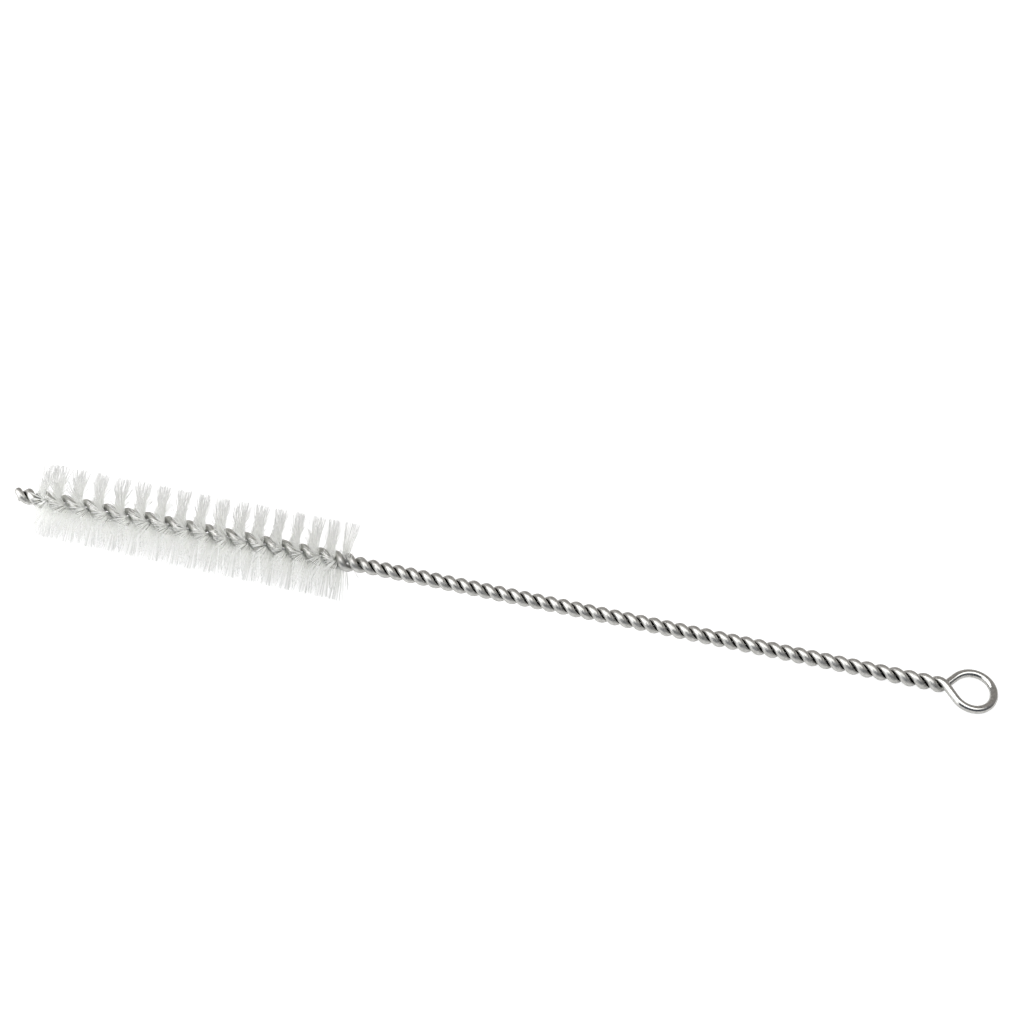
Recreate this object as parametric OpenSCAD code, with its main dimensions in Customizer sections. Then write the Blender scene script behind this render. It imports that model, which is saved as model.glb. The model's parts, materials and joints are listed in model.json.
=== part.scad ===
// Test tube brush. One wire is folded in half at a hanging eye and its two legs are twisted
// together. Nylon filaments lie across the wire near its cut ends, held between the legs, so the
// twist spreads them into a spiral. The brush lies on its bristles and on the wire of its eye.

/* [Overall] */
// Length from the cut ends of the wire to the far side of the eye
brush_length = 203; // [180:1:260]

/* [Wire] */
// Diameter of the wire
wire_d = 1.6; // [1.3:0.05:1.8]
// Lay of the handle, which is the length of one full turn, in wire diameters
handle_lay = 3.3; // [3.25:0.05:4.5]
// Lay of the last turn before the eye, in wire diameters
neck_lay = 3.55; // [3.25:0.05:4.5]
// Turns over which the lay relaxes towards the eye
neck_turns = 5; // [1:0.5:8]
// Space between the two legs where no filaments lie
leg_gap = 0.05; // [0.04:0.01:0.2]

/* [Eye] */
// Clear diameter inside the eye
eye_bore = 6.8; // [5.8:0.1:12]
// Angle between the brush's axis and each leg where the eye opens
eye_angle = 49; // [40:1:60]

/* [Bristle head] */
// Bare twisted wire in front of the bristles
bare_tip = 3.3; // [2:0.1:8]
// Length of twisted wire that carries bristles
head_length = 69.5; // [60:0.1:90]
// Diameter over the bristles next to the bare tip
head_d_tip = 15.9; // [12:0.1:25]
// Diameter over the bristles next to the handle
head_d_root = 16.7; // [12:0.1:25]
// How much looser the lay is at the tip than halfway along the head, as a share
lay_spread = 0.11; // [0:0.005:0.2]

/* [Filaments] */
// Space that the filaments hold open between the two legs
nip_gap = 0.7; // [0.5:0.05:0.9]
// Clearance between the pinched filaments and each leg
nip_clearance = 0.06; // [0.04:0.01:0.1]
// Radius within which the filaments lie packed side by side
packed_r = 3; // [2.5:0.1:4]
// Thickness of the packed filaments along the axis, at that radius
packed_thickness = 0.5; // [0.2:0.05:0.7]
// Share of its sector that a bunch of filaments still fills at its cut end
bunch_fill = 0.5; // [0.2:0.05:0.9]
// How far the cut ends differ in length
trim_scatter = 0.35; // [0:0.05:1]
// How far the cut ends lean along the axis
end_splay = 0.8; // [0:0.1:1.2]

/* [Hidden] */
// The twist is counted in half turns, because the two legs look alike after each of them.
tuft_count = 17;
// Half turns over which the lay opens at the tip end of the head and closes at its handle end
opening_half_turns = 0.5;
closing_half_turns = 1.3;
// Half turns of bristles at the handle's own lay
tail_half_turns = 1.2;
// Half turns by which the legs begin to part before the first filament
nip_lead = 0.8;
// Part of a half turn that is left free between two tufts, and the share of its thickness that the
// packed part keeps beside that gap
tuft_gap = 0.05;
tuft_end_share = 0.3;
// Bunches of filaments on each side of a tuft, and the seeds of their random trim and lean
bunches = 15;
trim_seed = 1;
lean_seed = 101;
// Facets: rings in each half turn of wire, sides of the wire, and steps round the eye
rings_per_half_turn = 4;
wire_sides = 6;
eye_steps = 30;

function tuft_name(i) = str("bristle_tuft_", i < 9 ? "0" : "", i + 1);

// Radius to the corners of the wire's section. The corners stand outside the round wire and the
// flats inside it, so the two legs stay apart where the flats face each other.
corner_fit = 1.03;
section_r = corner_fit * wire_d / 2;
// A leg turns by straight steps, which cut inside its round path. This widens it to match.
step_fit = 2 / (1 + cos(90 / rings_per_half_turn));

// The eye is an arc, and its two legs are tangents that meet at the neck.
eye_r = (eye_bore + wire_d) / 2;
eye_reach = eye_r / sin(eye_angle);
eye_leg = eye_reach * cos(eye_angle);
eye_sweep = 180 + 2 * eye_angle;
eye_arc = eye_r * eye_sweep * PI / 180;
eye_path = 2 * eye_leg + eye_arc;
neck = brush_length - wire_d / 2 - eye_r - eye_reach;

// Distances of each leg from the axis in the handle and in the head
handle_r = (wire_d + leg_gap) / 2;
head_r = (wire_d + nip_gap) / 2;

// Length of a half turn in the handle, at the neck, and halfway along the head
half_lay = handle_lay * wire_d / 2;
neck_half_lay = neck_lay * wire_d / 2;
wide_half_turns = tuft_count - opening_half_turns - closing_half_turns - tail_half_turns;
wide_half_lay = (head_length - half_lay * (opening_half_turns / 2 + closing_half_turns / 2 + tail_half_turns))
    / (wide_half_turns + opening_half_turns / 2 * (1 + lay_spread)
        + closing_half_turns / 2 * (1 - lay_spread));
handle_length = neck - bare_tip - head_length;
plain_half_turns = (handle_length - neck_turns * (half_lay + neck_half_lay)) / half_lay;

// The twist from the cut ends to the neck: half turns, and the half lay at the start and the end
// of each stretch
head_start = bare_tip / half_lay;
twist = [
    [head_start, half_lay, half_lay],
    [opening_half_turns, half_lay, wide_half_lay * (1 + lay_spread)],
    [wide_half_turns, wide_half_lay * (1 + lay_spread), wide_half_lay * (1 - lay_spread)],
    [closing_half_turns, wide_half_lay * (1 - lay_spread), half_lay],
    [tail_half_turns + plain_half_turns, half_lay, half_lay],
    [2 * neck_turns, half_lay, neck_half_lay],
];
neck_half_turns = head_start + tuft_count + plain_half_turns + 2 * neck_turns;

// Distance along the axis at which the twist has made u half turns
function station(u, k = 0) =
    let (s = twist[k])
    k == len(twist) - 1 || u <= s[0]
        ? u * s[1] + (s[2] - s[1]) * u * u / (2 * s[0])
        : s[0] * (s[1] + s[2]) / 2 + station(u - s[0], k + 1);

// Direction of the first leg from the axis after u half turns; it is on top at the neck.
function phase(u) = 90 + 180 * (u - neck_half_turns);
function radial(angle) = [0, cos(angle), sin(angle)];

// Distance of each leg from the axis, which is larger where filaments part the legs
function ease(x) = let (c = max(0, min(1, x))) c * c * (3 - 2 * c);
function parting(u) =
    let (v = u - head_start) ease(v + nip_lead) * (1 - ease(v - tuft_count + 1 - nip_lead));
function leg_r(u) = handle_r + (head_r - handle_r) * parting(u);
function leg_point(u, leg) = [station(u), 0, 0] + leg * step_fit * leg_r(u) * radial(phase(u));

// Centreline of the eye, at a share v of its way from the upper leg round to the lower one
function eye_plan(s) =
    s < eye_leg ? s * [cos(eye_angle), -sin(eye_angle)]
    : s > eye_path - eye_leg ? (eye_path - s) * [cos(eye_angle), sin(eye_angle)]
    : let (a = -90 - eye_angle + eye_sweep * (s - eye_leg) / eye_arc)
        [eye_reach + eye_r * cos(a), eye_r * sin(a)];
function eye_point(v) =
    let (p = eye_plan(v * eye_path)) [neck + p[0], p[1], step_fit * handle_r * cos(180 * v)];

// The whole centreline, from one cut end round the eye to the other, and the side of the wire
// that a section is turned to
leg_rings = ceil(neck_half_turns * rings_per_half_turn);
function ring_turn(i) = neck_half_turns * i / leg_rings;
route = concat(
    [for (i = [0 : leg_rings]) leg_point(ring_turn(i), 1)],
    [for (j = [1 : eye_steps - 1]) eye_point(j / eye_steps)],
    [for (i = [leg_rings : -1 : 0]) leg_point(ring_turn(i), -1)]);
facing = concat(
    [for (i = [0 : leg_rings]) radial(phase(ring_turn(i)))],
    [for (j = [1 : eye_steps - 1]) [0, 0, 1]],
    [for (i = [leg_rings : -1 : 0]) radial(phase(ring_turn(i)))]);

// Ring of the wire's section at point i of the route, square to the wire
function unit(v) = v / norm(v);
function ring(i) =
    let (last = len(route) - 1)
    let (along = unit(route[min(i + 1, last)] - route[max(i - 1, 0)]))
    let (up = unit(facing[i] - (facing[i] * along) * along))
    let (across = cross(along, up))
    [for (j = [0 : wire_sides - 1])
        let (a = 360 * (j + 0.5) / wire_sides) route[i] + section_r * (cos(a) * up + sin(a) * across)];

// Two triangles over four corners that run clockwise seen from outside
function quad(a, b, c, d) = [[a, b, d], [b, c, d]];
function flat_list(lists) = [for (l = lists) for (x = l) x];

wire_points = flat_list([for (i = [0 : len(route) - 1]) ring(i)]);
function wire_index(i, j) = i * wire_sides + j % wire_sides;
wire_faces = concat(
    [[for (j = [0 : wire_sides - 1]) wire_index(0, j)]],
    flat_list([for (i = [0 : len(route) - 2]) for (j = [0 : wire_sides - 1])
        quad(wire_index(i, j), wire_index(i + 1, j), wire_index(i + 1, j + 1), wire_index(i, j + 1))]),
    [[for (j = [wire_sides - 1 : -1 : 0]) wire_index(len(route) - 1, j)]]);

// A tuft is half a turn of the spiral. Its filaments cross the axis between the legs, pinched flat
// there, lie packed out to packed_r, and stand in separate bunches beyond.
function tuft_turn(i, k) = head_start + i + tuft_gap / 2 + (1 - tuft_gap) * k / bunches;
function nip_half(u) = leg_r(u) - wire_d / 2 - nip_clearance;
function head_half(u) = (head_d_tip + (head_d_root - head_d_tip) * (u - head_start) / tuft_count) / 2;
// A point of the packed part: row -1 and 1 are its two edges and row 0 is the nip
function packed_share(k) = k == 0 || k == bunches ? tuft_end_share : 1;
function packed_point(u, row, face, share) =
    [station(u) + face * row * share * packed_thickness / 2, 0, 0]
        + row * packed_r * radial(phase(u) + 90)
        + (row == 0 ? face * nip_half(u) : 0) * radial(phase(u));
// A corner of a bunch's cut end: edge is its place across the bunch, from 0 to 1
function cut_point(u0, u1, row, edge, trim, lean) =
    let (share = 0.5 + bunch_fill * (edge - 0.5))
    let (u = u0 + (u1 - u0) * share)
    [station((u0 + u1) / 2) + end_splay * lean, 0, 0]
        + row * (head_half(u) - trim_scatter * trim) * radial(phase(u) + 90);

function tuft_points(i) =
    let (trims = rands(0, 1, 2 * bunches, trim_seed + i))
    let (leans = rands(-1, 1, 2 * bunches, lean_seed + i))
    concat(
        [for (k = [0 : bunches]) for (row = [-1 : 1]) for (face = [-1, 1])
            packed_point(tuft_turn(i, k), row, face, packed_share(k))],
        [for (k = [0 : bunches - 1]) for (row = [-1, 1]) for (edge = [0, 1])
            let (n = 2 * k + (row + 1) / 2)
            cut_point(tuft_turn(i, k), tuft_turn(i, k + 1), row, edge, trims[n], leans[n])]);

// Indices of a packed point and of a corner of a cut end
first_cut = 6 * (bunches + 1);
function pk(k, row, face) = 6 * k + 2 * (row + 1) + (face + 1) / 2;
function cut(k, row, edge) = first_cut + 4 * k + (row + 1) + edge;
function bunch_faces(k, row) =
    let (u = cut(k, row, 0))
    let (v = cut(k, row, 1))
    concat(
        [[pk(k, row, row), u, pk(k, row, -row)], [pk(k + 1, row, -row), v, pk(k + 1, row, row)]],
        quad(pk(k + 1, row, row), v, u, pk(k, row, row)),
        quad(pk(k, row, -row), u, v, pk(k + 1, row, -row)));
function web_faces(k, row) = concat(
    quad(pk(k + 1, row, 1), pk(k + 1, row + 1, 1), pk(k, row + 1, 1), pk(k, row, 1)),
    quad(pk(k, row, -1), pk(k, row + 1, -1), pk(k + 1, row + 1, -1), pk(k + 1, row, -1)));
function end_faces(row) = concat(
    quad(pk(0, row, -1), pk(0, row, 1), pk(0, row + 1, 1), pk(0, row + 1, -1)),
    quad(pk(bunches, row + 1, -1), pk(bunches, row + 1, 1), pk(bunches, row, 1), pk(bunches, row, -1)));
tuft_faces = concat(
    flat_list([for (k = [0 : bunches - 1]) for (row = [-1, 1]) bunch_faces(k, row)]),
    flat_list([for (k = [0 : bunches - 1]) for (row = [-1, 0]) web_faces(k, row)]),
    flat_list([for (row = [-1, 0]) end_faces(row)]));

// The brush is drawn with its axis along X and then laid down. It rolls about the axis and tilts
// until its centre of mass, which lies on the axis, is as low as its eye and bristles let it come.
balance_share = 0.48;
widest_roll = 20;
roll_steps = 25;
nominal_tilt = atan2(max(head_d_tip, head_d_root) / 2 - wire_d / 2, brush_length - bare_tip - head_length);
eye_points = flat_list([for (i = [leg_rings : leg_rings + eye_steps]) ring(i)]);
cut_points = [for (i = [0 : tuft_count - 1]) let (p = tuft_points(i))
    for (n = [first_cut : len(p) - 1]) p[n]];

function rolled(p, roll) = [p[0], p[1] * cos(roll) - p[2] * sin(roll), p[1] * sin(roll) + p[2] * cos(roll)];
function height_at(p, tilt) = p[2] * cos(tilt) - p[0] * sin(tilt);
function reach_at(p, tilt) = p[0] * cos(tilt) + p[2] * sin(tilt);
function lowest_of(points, tilt) =
    let (heights = [for (p = points) height_at(p, tilt)]) points[search(min(heights), heights)[0]];
// Tilt and height of the brush when it lies at a given roll
function laid_down(roll) =
    let (eye = [for (p = eye_points) rolled(p, roll)])
    let (foot = lowest_of(eye, nominal_tilt))
    let (tilt = max([for (p = cut_points) let (q = rolled(p, roll)) atan2(foot[2] - q[2], foot[0] - q[0])]))
    [tilt, -min([for (p = eye) height_at(p, tilt)])];
function mass_height(roll) =
    let (lie = laid_down(roll)) lie[1] + height_at([balance_share * brush_length, 0, 0], lie[0]);
function settled_roll(low, high, steps) =
    let (third = (high - low) / 3)
    steps == 0 ? (low + high) / 2
    : mass_height(low + third) > mass_height(high - third) ? settled_roll(low + third, high, steps - 1)
    : settled_roll(low, high - third, steps - 1);

rest_roll = settled_roll(0, widest_roll, roll_steps);
rest_tilt = laid_down(rest_roll)[0];
rest_height = laid_down(rest_roll)[1];
cut_ends = concat(ring(0), ring(len(route) - 1));
near_end = min([for (p = cut_ends) reach_at(rolled(p, rest_roll), rest_tilt)]);
far_end = max([for (p = eye_points) reach_at(rolled(p, rest_roll), rest_tilt)]);

module at_rest()
    translate([-(near_end + far_end) / 2, 0, rest_height])
        rotate([rest_roll, rest_tilt, 0])
            children();

module twisted_wire()
    color([0.66, 0.66, 0.65])
        at_rest()
            polyhedron(wire_points, wire_faces, convexity = 10);

module bristle_tuft(i)
    color([0.90, 0.91, 0.90])
        at_rest()
            polyhedron(tuft_points(i), tuft_faces, convexity = 10);

twisted_wire();
for (i = [0 : tuft_count - 1])
    bristle_tuft(i);
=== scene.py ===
# %% [markdown]
# # A test tube brush
#
# This lesson dresses a test tube brush: one steel wire, folded in half at a hanging eye and twisted
# on itself, that pinches a few thousand straight nylon filaments near its cut ends. The twist
# spreads the filaments into a spiral of bristles.
#
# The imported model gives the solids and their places. Here the wire becomes a smooth round wire and
# each half turn of bristles becomes single filaments, both grown by Geometry Nodes from a few
# points that follow the rule of the twist.

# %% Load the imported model
import json
import math

import bpy
import numpy as np
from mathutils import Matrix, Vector


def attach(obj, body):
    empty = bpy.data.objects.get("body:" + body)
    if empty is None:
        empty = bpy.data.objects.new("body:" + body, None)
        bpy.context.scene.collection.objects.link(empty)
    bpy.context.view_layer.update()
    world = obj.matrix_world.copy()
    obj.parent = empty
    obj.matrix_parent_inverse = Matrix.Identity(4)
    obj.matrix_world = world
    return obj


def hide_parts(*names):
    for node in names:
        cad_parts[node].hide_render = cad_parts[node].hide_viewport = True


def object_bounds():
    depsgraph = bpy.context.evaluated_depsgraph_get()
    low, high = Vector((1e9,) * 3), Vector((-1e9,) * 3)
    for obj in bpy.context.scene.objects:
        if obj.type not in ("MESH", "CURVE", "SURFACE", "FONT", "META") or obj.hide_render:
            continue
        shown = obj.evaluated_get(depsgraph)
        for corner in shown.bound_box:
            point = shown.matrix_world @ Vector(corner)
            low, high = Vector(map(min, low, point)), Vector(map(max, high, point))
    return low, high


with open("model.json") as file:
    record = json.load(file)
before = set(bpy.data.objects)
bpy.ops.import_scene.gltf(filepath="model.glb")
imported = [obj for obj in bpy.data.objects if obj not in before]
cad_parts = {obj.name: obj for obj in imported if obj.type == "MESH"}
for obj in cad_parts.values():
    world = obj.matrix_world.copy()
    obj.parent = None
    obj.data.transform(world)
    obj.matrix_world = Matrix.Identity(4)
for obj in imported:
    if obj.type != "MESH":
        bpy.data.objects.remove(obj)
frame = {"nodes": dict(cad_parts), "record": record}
cad_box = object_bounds()
scene = bpy.context.scene
MM = 0.001
box_mm = [[round(c / MM, 1) for c in corner] for corner in cad_box]
print("loaded", len(frame["nodes"]), "nodes, box", box_mm)

# %% [markdown]
# ## Camera
#
# A brush is long and thin, so it lies across the picture and the camera looks down on it from the
# front at nearly half a right angle. A normal lens from close by makes the near end of the brush a
# little larger than the far end. The camera is placed by its direction and distance from an aim
# point, because those are the numbers to change for another view.

# %% Camera
LENS = 52.73
CAMERA_TURN = 12.62
CAMERA_HEIGHT = 45.98
CAMERA_DISTANCE = 284.6
AIM = Vector((4.89, 0, 30.7))


def direction(turn, height):
    """Unit vector for a turn about the upright axis and a height above the floor, in degrees."""
    a, e = math.radians(turn), math.radians(height)
    return Vector((math.sin(a) * math.cos(e), -math.cos(a) * math.cos(e), math.sin(e)))


camera = bpy.data.objects.new("camera", bpy.data.cameras.new("camera"))
camera.data.lens = LENS
camera.data.sensor_width = 36
camera.data.clip_start = 10 * MM
back = direction(CAMERA_TURN, CAMERA_HEIGHT)
camera.location = (AIM + back * CAMERA_DISTANCE) * MM
camera.rotation_euler = back.to_track_quat("Z", "Y").to_euler()
scene.collection.objects.link(camera)
scene.camera = camera
print("camera at", [round(c / MM) for c in camera.location], "mm")

# %% [markdown]
# ## Node helpers
#
# Every material and every Geometry Nodes tree below is built from the same two moves: add a node
# with its settings, and join two sockets. A short helper for each keeps the trees readable.


# %% Node helpers
def add(tree, kind, inputs=None, **settings):
    """Adds a node, sets its properties, and sets or links its inputs."""
    node = tree.nodes.new(kind)
    for name, value in settings.items():
        setattr(node, name, value)
    for key, value in (inputs or {}).items():
        if isinstance(value, bpy.types.NodeSocket):
            tree.links.new(value, node.inputs[key])
        else:
            node.inputs[key].default_value = value
    return node


def maths(tree, operation, *values):
    """A Math node on numbers or sockets, and its result."""
    node = add(tree, "ShaderNodeMath", dict(enumerate(values)), operation=operation)
    return node.outputs[0]


def vectors(tree, operation, *values, scale=None):
    """A Vector Math node on vectors or sockets, and its result."""
    inputs = dict(enumerate(values))
    if scale is not None:
        inputs["Scale"] = scale
    return add(tree, "ShaderNodeVectorMath", inputs, operation=operation).outputs[0]


def noise(tree, place, scale, detail):
    """A Noise texture at a place, and its result from 0 to 1."""
    inputs = {"Vector": place, "Scale": scale, "Detail": detail}
    return add(tree, "ShaderNodeTexNoise", inputs).outputs["Fac"]


def between(tree, factor, low, high):
    """A number that goes from low to high as the factor goes from 0 to 1."""
    inputs = {"Factor": factor, "A": low, "B": high}
    return add(tree, "ShaderNodeMix", inputs, data_type="FLOAT").outputs[0]


def new_material(name):
    """A node material with only an output, and its tree."""
    material = bpy.data.materials.new(name)
    material.use_nodes = True
    material.node_tree.nodes.clear()
    return material, material.node_tree


# %% [markdown]
# ## Floor and light
#
# The brush lies on white card under soft light. Reflections and bounced light see the card as a plain
# pale surface. The camera, and light that comes through the filaments, see it nearly as bright as
# paper lit from behind, so that it stays white and still keeps a trace of the brush's shadow.
#
# Wire looks like metal only when there is something light and something dark to reflect. Two soft
# boxes give it bright bands: a long one along the brush, a little in front of it, and a lower one at
# the left. The room around them is dim and cool in front, and lighter and warmer at the back. That
# gives the wire its darker bands and a little colour.

# %% Floor
FLOOR_SIZE = 4000
CARD_BOUNCE = 0.92
CARD_GLOW = 0.9
CARD_SHADE = 0.3


def card_material():
    material, tree = new_material("white_card")
    path = add(tree, "ShaderNodeLightPath")
    seen = maths(tree, "ADD", path.outputs["Is Camera Ray"], path.outputs["Is Transmission Ray"])
    seen = maths(tree, "MINIMUM", seen, 1.0)
    bounce = add(tree, "ShaderNodeBsdfDiffuse", {"Color": (CARD_BOUNCE, CARD_BOUNCE, CARD_BOUNCE, 1)})
    shade = add(tree, "ShaderNodeBsdfDiffuse", {"Color": (CARD_SHADE, CARD_SHADE, CARD_SHADE, 1)})
    glow = add(tree, "ShaderNodeEmission", {"Color": (1, 1, 1, 1), "Strength": CARD_GLOW})
    paper = add(tree, "ShaderNodeAddShader", {0: shade.outputs[0], 1: glow.outputs[0]})
    mix = add(tree, "ShaderNodeMixShader", {0: seen, 1: bounce.outputs[0], 2: paper.outputs[0]})
    add(tree, "ShaderNodeOutputMaterial", {"Surface": mix.outputs[0]})
    return material


edge = FLOOR_SIZE / 2 * MM
corners = [(-edge, -edge, 0), (edge, -edge, 0), (edge, edge, 0), (-edge, edge, 0)]
floor_mesh = bpy.data.meshes.new("floor")
floor_mesh.from_pydata(corners, [], [(0, 1, 2, 3)])
floor = bpy.data.objects.new("floor", floor_mesh)
floor_mesh.materials.append(card_material())
scene.collection.objects.link(floor)

# %% Light
ROOM_LEVEL = 0.3
FRONT_WALL = (0.42, 0.46, 0.54, 1)
BACK_WALL = (1.45, 1.38, 1.33, 1)
world = bpy.data.worlds.new("room")
world.use_nodes = True
walls = world.node_tree
look = add(walls, "ShaderNodeTexCoord").outputs["Generated"]
deep = add(walls, "ShaderNodeSeparateXYZ", {0: look}).outputs[1]
blend = add(walls, "ShaderNodeMapRange", {"Value": deep, "From Min": -0.5, "From Max": 0.5})
wall = add(walls, "ShaderNodeMix", {
    "Factor": blend.outputs["Result"], "A": FRONT_WALL, "B": BACK_WALL,
}, data_type="RGBA")
walls.links.new(wall.outputs["Result"], walls.nodes["Background"].inputs["Color"])
walls.nodes["Background"].inputs["Strength"].default_value = ROOM_LEVEL
scene.world = world


def soft_box(name, turn, height, distance, forward, width, depth, level, tint):
    """An area lamp, moved forward from where it faces the brush; level 1 is white paper, fully lit."""
    lamp = bpy.data.lights.new(name, "AREA")
    lamp.shape = "RECTANGLE"
    lamp.size, lamp.size_y = width * MM, depth * MM
    lamp.energy = level * math.pi * lamp.size * lamp.size_y
    lamp.color = tint
    box = bpy.data.objects.new(name, lamp)
    way = direction(turn, height)
    box.location = (way * distance - Vector((0, forward, 0))) * MM
    box.rotation_euler = way.to_track_quat("Z", "Y").to_euler()
    scene.collection.objects.link(box)


soft_box("long_box", turn=-90, height=75, distance=700, forward=210, width=560, depth=2000,
         level=2.55, tint=(1, 0.995, 0.985))
soft_box("left_box", turn=-60, height=25, distance=800, forward=0, width=900, depth=700,
         level=2.0, tint=(0.985, 0.99, 1))
print("light: room at", ROOM_LEVEL, "and two soft boxes")

# %% [markdown]
# ## The twist
#
# Everything on the brush follows one rule: how far along the axis the wire is after each half turn.
# It is tight in the handle, looser where filaments hold its legs apart, and it relaxes towards the
# eye. The sizes below are the model's own, in millimetres, and the place where the brush lies comes
# from two of its mounts: the hanging eye gives the roll and the position, and the bristle head gives
# the slope of the axis.

# %% Sizes of the brush
BRUSH_LENGTH = 203
WIRE_D = 1.6
LEG_GAP = 0.05
HANDLE_HALF_LAY = 3.3 * WIRE_D / 2
NECK_HALF_LAY = 3.55 * WIRE_D / 2
NECK_TURNS = 5
EYE_BORE = 6.8
EYE_ANGLE = 49
BARE_TIP = 3.3
HEAD_LENGTH = 69.5
HEAD_R_TIP = 15.9 / 2
HEAD_R_ROOT = 16.7 / 2
LAY_SPREAD = 0.11
NIP_GAP = 0.7
TUFTS = 17
OPENING, CLOSING, TAIL = 0.5, 1.3, 1.2
NIP_LEAD = 0.8

eye_r = (EYE_BORE + WIRE_D) / 2
eye_reach = eye_r / math.sin(math.radians(EYE_ANGLE))
neck = BRUSH_LENGTH - WIRE_D / 2 - eye_r - eye_reach
wide = TUFTS - OPENING - CLOSING - TAIL
wide_half_lay = (HEAD_LENGTH - HANDLE_HALF_LAY * (OPENING / 2 + CLOSING / 2 + TAIL)) / (
    wide + OPENING / 2 * (1 + LAY_SPREAD) + CLOSING / 2 * (1 - LAY_SPREAD)
)
plain = (neck - BARE_TIP - HEAD_LENGTH - NECK_TURNS * (HANDLE_HALF_LAY + NECK_HALF_LAY)) / HANDLE_HALF_LAY
head_start = BARE_TIP / HANDLE_HALF_LAY
loose, close = wide_half_lay * (1 + LAY_SPREAD), wide_half_lay * (1 - LAY_SPREAD)
STRETCHES = [
    (head_start, HANDLE_HALF_LAY, HANDLE_HALF_LAY),
    (OPENING, HANDLE_HALF_LAY, loose),
    (wide, loose, close),
    (CLOSING, close, HANDLE_HALF_LAY),
    (TAIL + plain, HANDLE_HALF_LAY, HANDLE_HALF_LAY),
    (2 * NECK_TURNS, HANDLE_HALF_LAY, NECK_HALF_LAY),
]
neck_turn = sum(stretch[0] for stretch in STRETCHES)
print("half turns", round(neck_turn, 2), "neck at", round(neck, 2), "mm")


# %% The rule of the twist
def station(u):
    """Distance along the axis, in mm, after u half turns."""
    reached = np.zeros_like(u, dtype=float)
    for count, first, last in STRETCHES:
        inside = np.clip(u, 0, count)
        reached += inside * first + (last - first) * inside**2 / (2 * count)
        u = u - inside
    return reached


def phase(u):
    """Direction of the first leg from the axis; it is on top at the neck."""
    return math.pi / 2 + math.pi * (u - neck_turn)


def ease(x):
    x = np.clip(x, 0, 1)
    return x * x * (3 - 2 * x)


def parting(u):
    """How far the legs have parted: 0 where they touch, 1 where filaments lie between them."""
    v = u - head_start
    return ease(v + NIP_LEAD) * (1 - ease(v - TUFTS + 1 - NIP_LEAD))


def leg_radius(u):
    """Distance of a leg from the axis."""
    return (WIRE_D + LEG_GAP + (NIP_GAP - LEG_GAP) * parting(u)) / 2


def radial(angle):
    return np.stack([np.zeros_like(angle), np.cos(angle), np.sin(angle)], axis=-1)


# %% The place where the brush lies
mounts = {mount["name"]: mount for mount in frame["record"]["mounts"]}
along = -np.array(mounts["bristle_head"]["axis"], dtype=float)
along /= np.linalg.norm(along)
over = np.array(mounts["hang_eye"]["axis"], dtype=float)
across = np.cross(over, along)
across /= np.linalg.norm(across)
over = np.cross(along, across)
start = np.array(mounts["hang_eye"]["pos_m"]) / MM - (neck + eye_reach) * along


def placed(points):
    """Points of the brush's own axes, in mm, put where the brush lies, in metres."""
    return (start + points @ np.array([along, across, over])) * MM


def turned(vectors_in):
    """Directions of the brush's own axes, turned to where the brush lies."""
    return vectors_in @ np.array([along, across, over])


print("axis falls", round(math.degrees(math.asin(-along[2])), 2), "degrees towards the eye")

# %% [markdown]
# ## Growing a piece with Geometry Nodes
#
# Each tree below takes a few points or edges and grows the finished mesh from them. The helper makes
# the tree's sockets from a list of named sizes, puts it on an object, sets the sizes by the sockets'
# identifiers, and keeps the result as a plain mesh.


# %% Tree and growing helpers
def new_tree(name, sizes):
    """A Geometry Nodes tree with a geometry input and one input for each named size."""
    tree = bpy.data.node_groups.new(name, "GeometryNodeTree")
    sockets = tree.interface
    sockets.new_socket("Geometry", in_out="OUTPUT", socket_type="NodeSocketGeometry")
    sockets.new_socket("Geometry", in_out="INPUT", socket_type="NodeSocketGeometry")
    for label, value in sizes.items():
        kind = {int: "NodeSocketInt", float: "NodeSocketFloat"}.get(type(value), "NodeSocketMaterial")
        sockets.new_socket(label, in_out="INPUT", socket_type=kind)
    return tree, tree.nodes.new("NodeGroupInput"), tree.nodes.new("NodeGroupOutput")


def grow(name, points, edges, attributes, tree, sizes):
    """Runs a tree on points and edges, and returns the mesh that it grows as an object."""
    mesh = bpy.data.meshes.new(name)
    mesh.from_pydata(points.tolist(), edges, [])
    for label, values in attributes.items():
        flat = values.ndim == 1
        stored = mesh.attributes.new(label, "FLOAT" if flat else "FLOAT_VECTOR", "POINT")
        stored.data.foreach_set("value" if flat else "vector", values.astype(np.float32).ravel())
    seedling = bpy.data.objects.new(name + "_points", mesh)
    scene.collection.objects.link(seedling)
    nodes = seedling.modifiers.new("grow", "NODES")
    nodes.node_group = tree
    for socket in tree.interface.items_tree:
        if socket.in_out == "INPUT" and socket.name in sizes:
            nodes[socket.identifier] = sizes[socket.name]
    grown = seedling.evaluated_get(bpy.context.evaluated_depsgraph_get())
    piece = bpy.data.objects.new(name, bpy.data.meshes.new_from_object(grown))
    piece.data.name = name
    scene.collection.objects.link(piece)
    bpy.data.objects.remove(seedling)
    return piece
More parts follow.
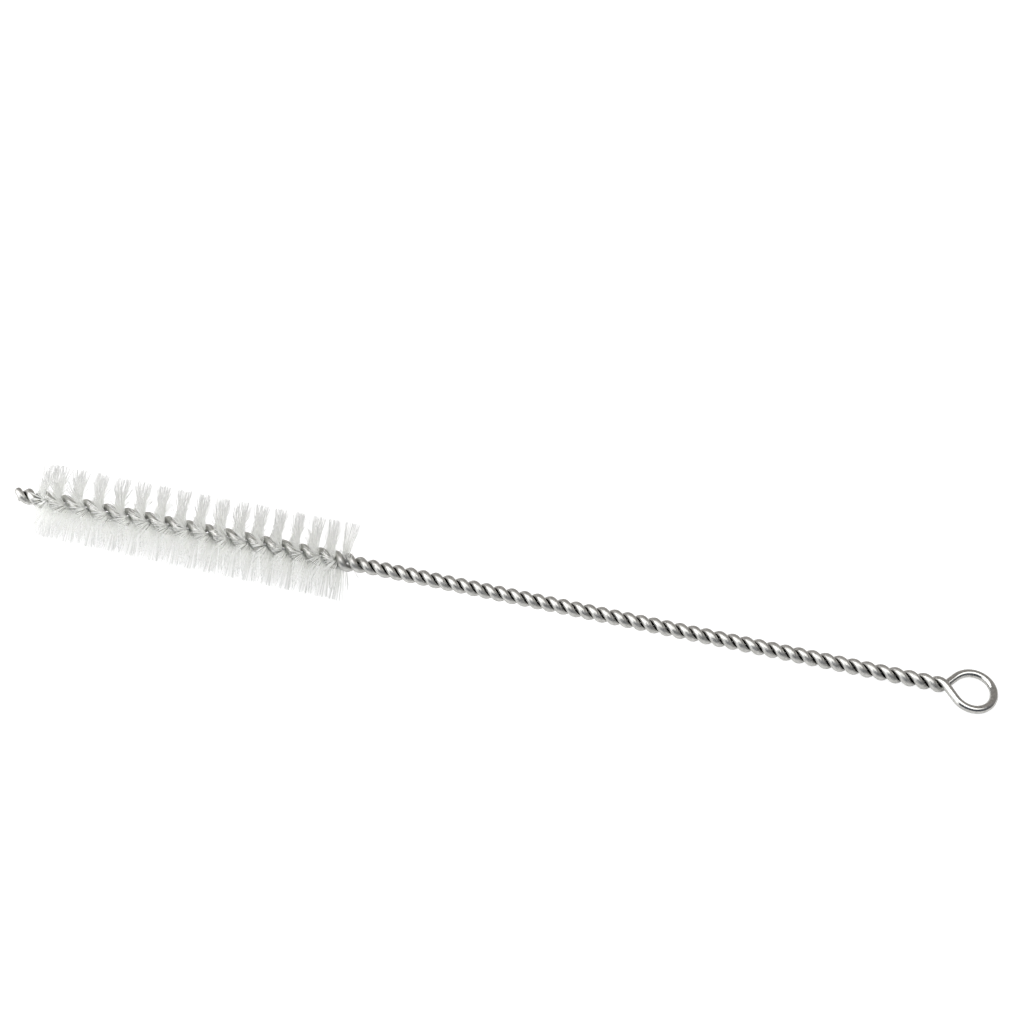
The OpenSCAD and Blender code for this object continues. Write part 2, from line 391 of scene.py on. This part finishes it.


# %% [markdown]
# ## Wire finish
#
# The wire is drawn steel with a thin bright zinc coat. Drawing leaves fine lines along the wire, and
# the zinc makes it slightly uneven in tone. Both patterns have to follow the wire round every turn,
# so they read an attribute that the wire's tree stores: the direction round the section and the
# distance along the wire. Stretching that last number makes noise into long streaks.
#
# Twisting scuffs the coat, so the twist is duller than the eye. The groove where the two legs meet
# is painted near-black, as painted shade for the shade that falls deep between the legs. Two more
# numbers from the tree tell those places. One says whether a point belongs to the twist. The other
# says how openly it lies: its distance from the twist's axis in wire diameters, with one added in
# the eye and where filaments part the legs.


# %% Wire material
# Painted shade: the groove between the legs gets a near-black colour and its own roughness, fading out
# between the two edges.
GROOVE_SHADE_COLOUR = (0.006, 0.006, 0.007, 1)
GROOVE_SHADE_ROUGHNESS = 0.6
GROOVE_SHADE_EDGE, UNSHADED_EDGE = 0.63, 0.70
DULL_ZINC, BRIGHT_ZINC = (0.42, 0.42, 0.40, 1), (0.60, 0.595, 0.575, 1)
DRAWN_LINES, SPOTS = (1.0, 1.0, 60.0), (1.0, 1.0, 1100.0)


def wire_material():
    material, tree = new_material("zinc_wire")
    drawn = add(tree, "ShaderNodeAttribute", attribute_name="drawn").outputs["Vector"]
    twist = add(tree, "ShaderNodeAttribute", attribute_name="twist").outputs["Fac"]
    open_air = add(tree, "ShaderNodeAttribute", attribute_name="open_air").outputs["Fac"]
    streaks = noise(tree, vectors(tree, "MULTIPLY", drawn, DRAWN_LINES), 9.0, 3.0)
    spots = noise(tree, vectors(tree, "MULTIPLY", drawn, SPOTS), 1.6, 4.0)
    tone = add(tree, "ShaderNodeValToRGB", {"Fac": spots})
    tone.color_ramp.elements[0].position = 0.3
    tone.color_ramp.elements[0].color = DULL_ZINC
    tone.color_ramp.elements[1].position = 0.72
    tone.color_ramp.elements[1].color = BRIGHT_ZINC
    # Painted shade: where the wire lies deep in the groove, the colour goes near-black.
    unshaded = add(tree, "ShaderNodeMapRange", {
        "Value": open_air, "From Min": GROOVE_SHADE_EDGE, "From Max": UNSHADED_EDGE,
    }, interpolation_type="SMOOTHSTEP").outputs["Result"]
    colour = add(tree, "ShaderNodeMix", {
        "Factor": unshaded, "A": GROOVE_SHADE_COLOUR, "B": tone.outputs["Color"],
    }, data_type="RGBA").outputs["Result"]
    smooth = between(tree, streaks, 0.10, 0.20)
    scuffed = between(tree, streaks, 0.32, 0.50)
    rough = between(tree, unshaded, GROOVE_SHADE_ROUGHNESS, between(tree, twist, smooth, scuffed))
    bump = add(tree, "ShaderNodeBump", {"Height": streaks, "Strength": 0.25, "Distance": 0.02 * MM})
    shader = add(tree, "ShaderNodeBsdfPrincipled", {
        "Base Color": colour, "Roughness": rough, "Normal": bump.outputs["Normal"], "Metallic": 1.0,
    })
    add(tree, "ShaderNodeOutputMaterial", {"Surface": shader.outputs[0]})
    return material


# %% [markdown]
# ## The twisted wire
#
# The wire's centreline is one long line of points: down the first leg of the twist, round the eye
# and back along the second leg. A sweep is the natural way to make wire, so the tree turns the line
# into a curve and sweeps a circle along it. The many rings in each turn keep the highlights smooth.

# %% Wire centreline
LEG_RINGS_PER_HALF_TURN = 12
EYE_RINGS = 84
NECK_RINGS = 6
NECK_SMOOTHINGS = 3
NECK_FADE = 3


def eye_points(count):
    """Centreline of the eye: two straight legs that cross at the neck, joined by an arc."""
    tilt = math.radians(EYE_ANGLE)
    leg, sweep = eye_reach * math.cos(tilt), math.pi + 2 * tilt
    total = 2 * leg + eye_r * sweep
    s = np.linspace(0, total, count)
    turn = -math.pi / 2 - tilt + (s - leg) / eye_r
    x = eye_reach + eye_r * np.cos(turn)
    y = eye_r * np.sin(turn)
    x = np.where(s < leg, s * math.cos(tilt), np.where(s > total - leg, (total - s) * math.cos(tilt), x))
    y = np.where(s < leg, -s * math.sin(tilt), np.where(s > total - leg, (total - s) * math.sin(tilt), y))
    lift = (WIRE_D + LEG_GAP) / 2 * np.cos(math.pi * s / total)
    return np.stack([neck + x, y, lift], axis=-1)


turns = np.linspace(0, neck_turn, round(neck_turn * LEG_RINGS_PER_HALF_TURN))
axis_points = np.stack([station(turns), 0 * turns, 0 * turns], axis=-1)
leg_offset = leg_radius(turns)[:, None] * radial(phase(turns))
centreline = np.concatenate([
    axis_points + leg_offset,
    eye_points(EYE_RINGS)[1:-1],
    (axis_points - leg_offset)[::-1],
])
# The legs run into the eye without a kink.
eye_part = centreline[len(turns) - NECK_RINGS:len(centreline) - len(turns) + NECK_RINGS]
for _ in range(NECK_SMOOTHINGS):
    eye_part[1:-1] = (eye_part[:-2] + 2 * eye_part[1:-1] + eye_part[2:]) / 4
wire_length = np.linalg.norm(np.diff(centreline, axis=0), axis=1).sum()
core = centreline.copy()
core[:, 1:] = 0
in_twist = 1 - ease((centreline[:, 0] - neck) / NECK_FADE + 0.5)
half_turns = np.interp(centreline[:, 0], axis_points[:, 0], turns)
apart = np.maximum(parting(half_turns), 1 - in_twist)
print("wire:", len(centreline), "rings,", round(wire_length), "mm long")


# %% Wire tree
def wire_tree():
    tree, given, result = new_tree("sweep_wire", {"Diameter": 0.0, "Sides": 0, "Material": None})
    line = add(tree, "GeometryNodeMeshToCurve", {"Mesh": given.outputs["Geometry"]})
    length = add(tree, "GeometryNodeSplineParameter").outputs["Length"]
    marked = add(tree, "GeometryNodeStoreNamedAttribute", {
        "Geometry": line.outputs["Curve"], "Name": "along_wire", "Value": length,
    }, data_type="FLOAT", domain="POINT")
    radius = maths(tree, "DIVIDE", given.outputs["Diameter"], 2.0)
    circle = add(tree, "GeometryNodeCurvePrimitiveCircle", {
        "Resolution": given.outputs["Sides"], "Radius": radius,
    })
    around = vectors(tree, "NORMALIZE", add(tree, "GeometryNodeInputPosition").outputs[0])
    section = add(tree, "GeometryNodeStoreNamedAttribute", {
        "Geometry": circle.outputs["Curve"], "Name": "round_wire", "Value": around,
    }, data_type="FLOAT_VECTOR", domain="POINT")
    swept = add(tree, "GeometryNodeCurveToMesh", {
        "Curve": marked.outputs["Geometry"], "Profile Curve": section.outputs["Geometry"], "Fill Caps": True,
    })
    far = add(tree, "GeometryNodeInputNamedAttribute", {"Name": "along_wire"}, data_type="FLOAT")
    side = add(tree, "GeometryNodeInputNamedAttribute", {"Name": "round_wire"}, data_type="FLOAT_VECTOR")
    parts = add(tree, "ShaderNodeSeparateXYZ", {0: side.outputs["Attribute"]})
    both = add(tree, "ShaderNodeCombineXYZ", {
        0: parts.outputs[0], 1: parts.outputs[1], 2: far.outputs["Attribute"],
    })
    drawn = add(tree, "GeometryNodeStoreNamedAttribute", {
        "Geometry": swept.outputs["Mesh"], "Name": "drawn", "Value": both.outputs[0],
    }, data_type="FLOAT_VECTOR", domain="POINT")
    core_at = add(tree, "GeometryNodeInputNamedAttribute", {"Name": "core"}, data_type="FLOAT_VECTOR")
    away = add(tree, "ShaderNodeVectorMath", {
        0: add(tree, "GeometryNodeInputPosition").outputs[0], 1: core_at.outputs["Attribute"],
    }, operation="DISTANCE").outputs["Value"]
    apart = add(tree, "GeometryNodeInputNamedAttribute", {"Name": "apart"}, data_type="FLOAT")
    away = maths(tree, "DIVIDE", away, given.outputs["Diameter"])
    open_air = add(tree, "GeometryNodeStoreNamedAttribute", {
        "Geometry": drawn.outputs["Geometry"], "Name": "open_air",
        "Value": maths(tree, "ADD", away, apart.outputs["Attribute"]),
    }, data_type="FLOAT", domain="POINT")
    smooth = add(tree, "GeometryNodeSetShadeSmooth", {"Geometry": open_air.outputs["Geometry"]})
    real = add(tree, "GeometryNodeRealizeInstances", {"Geometry": smooth.outputs["Geometry"]})
    finish = add(tree, "GeometryNodeSetMaterial", {
        "Geometry": real.outputs["Geometry"], "Material": given.outputs["Material"],
    })
    tree.links.new(finish.outputs["Geometry"], result.inputs["Geometry"])
    return tree


# %% Grow the wire
WIRE_SIDES = 20
line_edges = [(i, i + 1) for i in range(len(centreline) - 1)]
marks = {"core": placed(core), "twist": in_twist, "apart": apart}
wire = grow("twist_and_eye", placed(centreline), line_edges, marks, wire_tree(), {
    "Diameter": WIRE_D * MM, "Sides": WIRE_SIDES, "Material": wire_material(),
})
for face in wire.data.polygons:
    face.use_smooth = len(face.vertices) == 4
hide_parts("twisted_wire")
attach(wire, "root")
print("wire mesh:", len(wire.data.polygons), "faces")

# %% [markdown]
# ## Filament finish
#
# Natural nylon lets light through and spreads it, so a tuft of it is pale and milky instead of
# shaded. A Translucent shader carries nearly all of that light, and a small share of a smooth
# Principled shader adds the gloss of the drawn surface. Each filament is a little lighter or darker
# than the next. Near the wire the colour is painted nearly white and a touch warm, as painted light
# for the light that is lost between the many filaments there. Towards the trimmed ends it is greyer.
# The tree stores those two numbers on every filament: a random shade, and how far a point is from the wire.


# %% Filament material
GLOW_SHARE = 0.95
# Painted light: near the wire the filaments are coloured nearly white, lighter than at their ends.
NEAR_WIRE_PAINTED_LIGHT = (0.995, 1.0, 0.985, 1), (1.0, 1.0, 0.993, 1)
AT_END = (0.85, 0.853, 0.85, 1), (0.93, 0.93, 0.93, 1)


def filament_material():
    material, tree = new_material("natural_nylon")
    shade = add(tree, "ShaderNodeAttribute", attribute_name="shade")
    reach = add(tree, "ShaderNodeAttribute", attribute_name="reach")
    inner_painted_light = add(tree, "ShaderNodeMix", {
        "Factor": shade.outputs["Fac"], "A": NEAR_WIRE_PAINTED_LIGHT[0], "B": NEAR_WIRE_PAINTED_LIGHT[1],
    }, data_type="RGBA")
    outer = add(tree, "ShaderNodeMix", {
        "Factor": shade.outputs["Fac"], "A": AT_END[0], "B": AT_END[1],
    }, data_type="RGBA")
    # Painted light: the colour gets lighter from the ends towards the wire.
    near_end = {"Value": reach.outputs["Fac"], "From Min": 0.5, "From Max": 1.0}
    blend = add(tree, "ShaderNodeMapRange", near_end)
    colour = add(tree, "ShaderNodeMix", {
        "Factor": blend.outputs["Result"], "A": inner_painted_light.outputs["Result"], "B": outer.outputs["Result"],
    }, data_type="RGBA")
    surface = add(tree, "ShaderNodeBsdfPrincipled", {
        "Base Color": colour.outputs["Result"], "Roughness": 0.15, "IOR": 1.53,
    })
    inside = add(tree, "ShaderNodeBsdfTranslucent", {"Color": colour.outputs["Result"]})
    both = add(tree, "ShaderNodeMixShader", {
        0: GLOW_SHARE, 1: surface.outputs[0], 2: inside.outputs[0],
    })
    add(tree, "ShaderNodeOutputMaterial", {"Surface": both.outputs[0]})
    return material


# %% [markdown]
# ## Bristle tufts
#
# Before twisting, straight filaments are laid side by side across the wire. The twist turns each one
# to its own direction, so filament after filament makes a spiral. One point stands for one filament,
# with its direction as an attribute. The tree puts a short line on every point, stretches it to its
# place, lets clumps and single filaments lean a little, trims the ends unevenly, and sweeps a
# small circle along each line. They spread most where they leave the wire, so the lean grows fast
# there. A filament needs few faces, because there are two thousand of them.


# %% Filament tree
SPREAD_BOW = 0.55
TRIM_BOW = 3.0
CLUMPS_PER_HALF_TURN = 5.0
OTHER_END = 40.0


def filament_tree():
    tree, given, result = new_tree("spread_filaments", {
        "Diameter": 0.0, "Sides": 0, "Segments": 0, "Seed": 0,
        "Trim scatter": 0.0, "Clump lean": 0.0, "Single lean": 0.0, "Swing": 0.0, "Material": None,
    })
    size = given.outputs

    def attribute(name, kind="FLOAT_VECTOR"):
        node = add(tree, "GeometryNodeInputNamedAttribute", {"Name": name}, data_type=kind)
        return node.outputs["Attribute"]

    def store(geometry, name, value, kind="FLOAT"):
        node = add(tree, "GeometryNodeStoreNamedAttribute", {
            "Geometry": geometry, "Name": name, "Value": value,
        }, data_type=kind, domain="POINT")
        return node.outputs["Geometry"]

    def chance(low, high, salt):
        seed = maths(tree, "ADD", size["Seed"], float(salt))
        limits = {"Min": low, "Max": high, "Seed": seed}
        return add(tree, "FunctionNodeRandomValue", limits, data_type="FLOAT").outputs["Value"]

    # Random numbers that belong to a whole filament are stored before its line is placed.
    points = given.outputs["Geometry"]
    points = store(points, "root", add(tree, "GeometryNodeInputPosition").outputs[0], "FLOAT_VECTOR")
    for salt, name in enumerate(("trim_a", "trim_b", "shade")):
        points = store(points, name, chance(0.0, 1.0, salt))
    for salt, name in enumerate(("lean_a", "lean_b", "swing_a", "swing_b"), start=10):
        points = store(points, name, chance(-1.0, 1.0, salt))

    # A line of points from -1 to 1 stands for a filament, and its place on that line is its span.
    count = maths(tree, "ADD", size["Segments"], 1.0)
    step = maths(tree, "DIVIDE", 2.0, size["Segments"])
    offset = add(tree, "ShaderNodeCombineXYZ", {2: step}).outputs[0]
    line = add(tree, "GeometryNodeMeshLine", {
        "Count": count, "Start Location": (0.0, 0.0, -1.0), "Offset": offset,
    }).outputs["Mesh"]
    here = add(tree, "GeometryNodeInputPosition").outputs[0]
    line = store(line, "span", add(tree, "ShaderNodeSeparateXYZ", {0: here}).outputs[2])
    cloud = add(tree, "GeometryNodeInstanceOnPoints", {"Points": points, "Instance": line})
    lines = add(tree, "GeometryNodeRealizeInstances", {"Geometry": cloud.outputs[0]}).outputs["Geometry"]

    # The two ends of a filament have their own trim, lean and swing.
    span = attribute("span", "FLOAT")
    far_side = maths(tree, "GREATER_THAN", span, 0.0)

    def by_end(name):
        low, high = attribute(name + "_a", "FLOAT"), attribute(name + "_b", "FLOAT")
        return between(tree, far_side, low, high)

    out = maths(tree, "ABSOLUTE", span)
    trim = maths(tree, "MULTIPLY", maths(tree, "POWER", by_end("trim"), TRIM_BOW), size["Trim scatter"])
    full = maths(tree, "SUBTRACT", attribute("head_r", "FLOAT"), trim)
    stretch = maths(tree, "MULTIPLY", span, full)
    bow = maths(tree, "POWER", out, SPREAD_BOW)

    # Clumps lean together: smooth noise over the turn, with another pattern at the other end.
    clump_at = add(tree, "ShaderNodeCombineXYZ", {
        0: maths(tree, "MULTIPLY", attribute("turn", "FLOAT"), CLUMPS_PER_HALF_TURN),
        1: maths(tree, "MULTIPLY", far_side, OTHER_END),
        2: size["Seed"],
    }).outputs[0]
    clump = noise(tree, clump_at, 1.0, 1.0)
    clump = maths(tree, "MULTIPLY", maths(tree, "SUBTRACT", clump, 0.5), 2.0)
    lean = maths(tree, "MULTIPLY", by_end("lean"), size["Single lean"])
    lean = maths(tree, "ADD", lean, maths(tree, "MULTIPLY", clump, size["Clump lean"]))
    lean = maths(tree, "ADD", lean, by_end("end_lean"))
    lean = maths(tree, "MULTIPLY", lean, bow)
    swing = maths(tree, "MULTIPLY", maths(tree, "MULTIPLY", by_end("swing"), size["Swing"]), bow)

    reached = vectors(tree, "SCALE", attribute("across"), scale=stretch)
    place = vectors(tree, "ADD", attribute("root"), reached)
    place = vectors(tree, "ADD", place, vectors(tree, "SCALE", attribute("axis"), scale=lean))
    place = vectors(tree, "ADD", place, vectors(tree, "SCALE", attribute("beside"), scale=swing))
    # Ends that would pass the floor bend and lie on it.
    radius = maths(tree, "DIVIDE", size["Diameter"], 2.0)
    parts = add(tree, "ShaderNodeSeparateXYZ", {0: place}).outputs
    place = add(tree, "ShaderNodeCombineXYZ", {
        0: parts[0], 1: parts[1], 2: maths(tree, "MAXIMUM", parts[2], radius),
    }).outputs[0]
    laid = add(tree, "GeometryNodeSetPosition", {"Geometry": lines, "Position": place}).outputs["Geometry"]
    laid = store(laid, "reach", out)

    curves = add(tree, "GeometryNodeMeshToCurve", {"Mesh": laid}).outputs["Curve"]
    circle = add(tree, "GeometryNodeCurvePrimitiveCircle", {"Resolution": size["Sides"], "Radius": radius})
    swept = add(tree, "GeometryNodeCurveToMesh", {
        "Curve": curves, "Profile Curve": circle.outputs["Curve"], "Fill Caps": True,
    }).outputs["Mesh"]
    smooth = add(tree, "GeometryNodeSetShadeSmooth", {"Geometry": swept}).outputs["Geometry"]
    real = add(tree, "GeometryNodeRealizeInstances", {"Geometry": smooth}).outputs["Geometry"]
    finish = add(tree, "GeometryNodeSetMaterial", {"Geometry": real, "Material": size["Material"]})
    tree.links.new(finish.outputs["Geometry"], result.inputs["Geometry"])
    return tree


# %% Filaments of one tuft
FILAMENT_D = 0.1
FILAMENT_SIDES, FILAMENT_SEGMENTS = 5, 8
FILAMENTS = 130
NIP_LAYERS = 3
LAYER_STEP = 0.12
JITTER = 0.6
END_INSET = 0.15
TIP_LEAN, ROOT_LEAN = 3.0, 1.0
TIP_LEAN_END = 1.5
ROOT_LEAN_START, ROOT_LEAN_EASE = 1.3, 0.3
TIP_TUFTS, TIP_SPLAY = 2, 1.7
SPLAY = 1.1, 1.65
TRIM_SCATTER, CLUMP_LEAN, SWING = 0.2, 0.3, 0.3
LAST_FULL = 0.75
BUNDLE_COUNT, BUNDLE_START, BUNDLE_WIDTH = 32, 0.02, 0.18
STRAY_COUNT, STRAY_START, STRAY_WIDTH = 12, 0.25, 0.3
draw = np.random.default_rng(7)


def places(i):
    """Half turns from the start of the head for the filaments of the half turn number i."""
    order = (np.arange(FILAMENTS) + 0.5 + JITTER * (draw.random(FILAMENTS) - 0.5)) / FILAMENTS
    # The last filaments have worked loose: a gap, one bundle, and then a few strays.
    if i == TUFTS - 2:
        order = order[order < LAST_FULL]
    if i == TUFTS - 1:
        bundle = BUNDLE_START + BUNDLE_WIDTH * draw.random(BUNDLE_COUNT)
        strays = STRAY_START + STRAY_WIDTH * draw.random(STRAY_COUNT)
        order = np.sort(np.concatenate([bundle, strays]))
    return i + order


def tuft_points(i):
    """Nip points, directions and sizes of the filaments in the half turn number i of the head."""
    v = places(i)
    count = len(v)
    u = head_start + v
    beside = radial(phase(u))
    out = radial(phase(u) + math.pi / 2)
    layer = (draw.integers(0, NIP_LAYERS, count) - (NIP_LAYERS - 1) / 2) * LAYER_STEP
    nip = np.stack([station(u), 0 * u, 0 * u], axis=-1) + beside * layer[:, None]
    head_r = HEAD_R_TIP + (HEAD_R_ROOT - HEAD_R_TIP) * v / TUFTS - END_INSET
    # Use has pushed the first filaments back from the tip. The last ones splay towards the handle,
    # but not where they point down at the floor. Each of the two has a row for each filament end.
    at_tip = ease(1 - v / TIP_LEAN_END)
    at_root = ease((v - TUFTS + ROOT_LEAN_START) / ROOT_LEAN_EASE)
    below = np.clip(-turned(out)[:, 2:] * (-1, 1), 0, 1).T
    lean = ROOT_LEAN * at_root * (1 - below) + TIP_LEAN * at_tip
    attributes = {
        "across": turned(out), "beside": turned(beside), "axis": np.tile(along, (count, 1)),
        "head_r": head_r * MM, "turn": u, "end_lean_a": lean[0] * MM, "end_lean_b": lean[1] * MM,
    }
    return placed(nip), attributes


# %% Grow the tufts
nylon = filament_material()
spread = filament_tree()
filaments, faces = 0, 0
for i in range(TUFTS):
    points, attributes = tuft_points(i)
    filaments += len(points)
    splay = (TIP_SPLAY if i < TIP_TUFTS else draw.uniform(*SPLAY)) * MM
    tuft = grow(f"filaments_{i + 1:02d}", points, [], attributes, spread, {
        "Diameter": FILAMENT_D * MM, "Sides": FILAMENT_SIDES, "Segments": FILAMENT_SEGMENTS,
        "Seed": 100 + i, "Trim scatter": TRIM_SCATTER * MM, "Clump lean": CLUMP_LEAN * MM,
        "Single lean": splay, "Swing": SWING * MM, "Material": nylon,
    })
    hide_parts(f"bristle_tuft_{i + 1:02d}")
    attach(tuft, "root")
    faces += len(tuft.data.polygons)
print("filaments:", filaments, "with", faces, "faces")

# %% Finish
scene.view_settings.view_transform = "Standard"
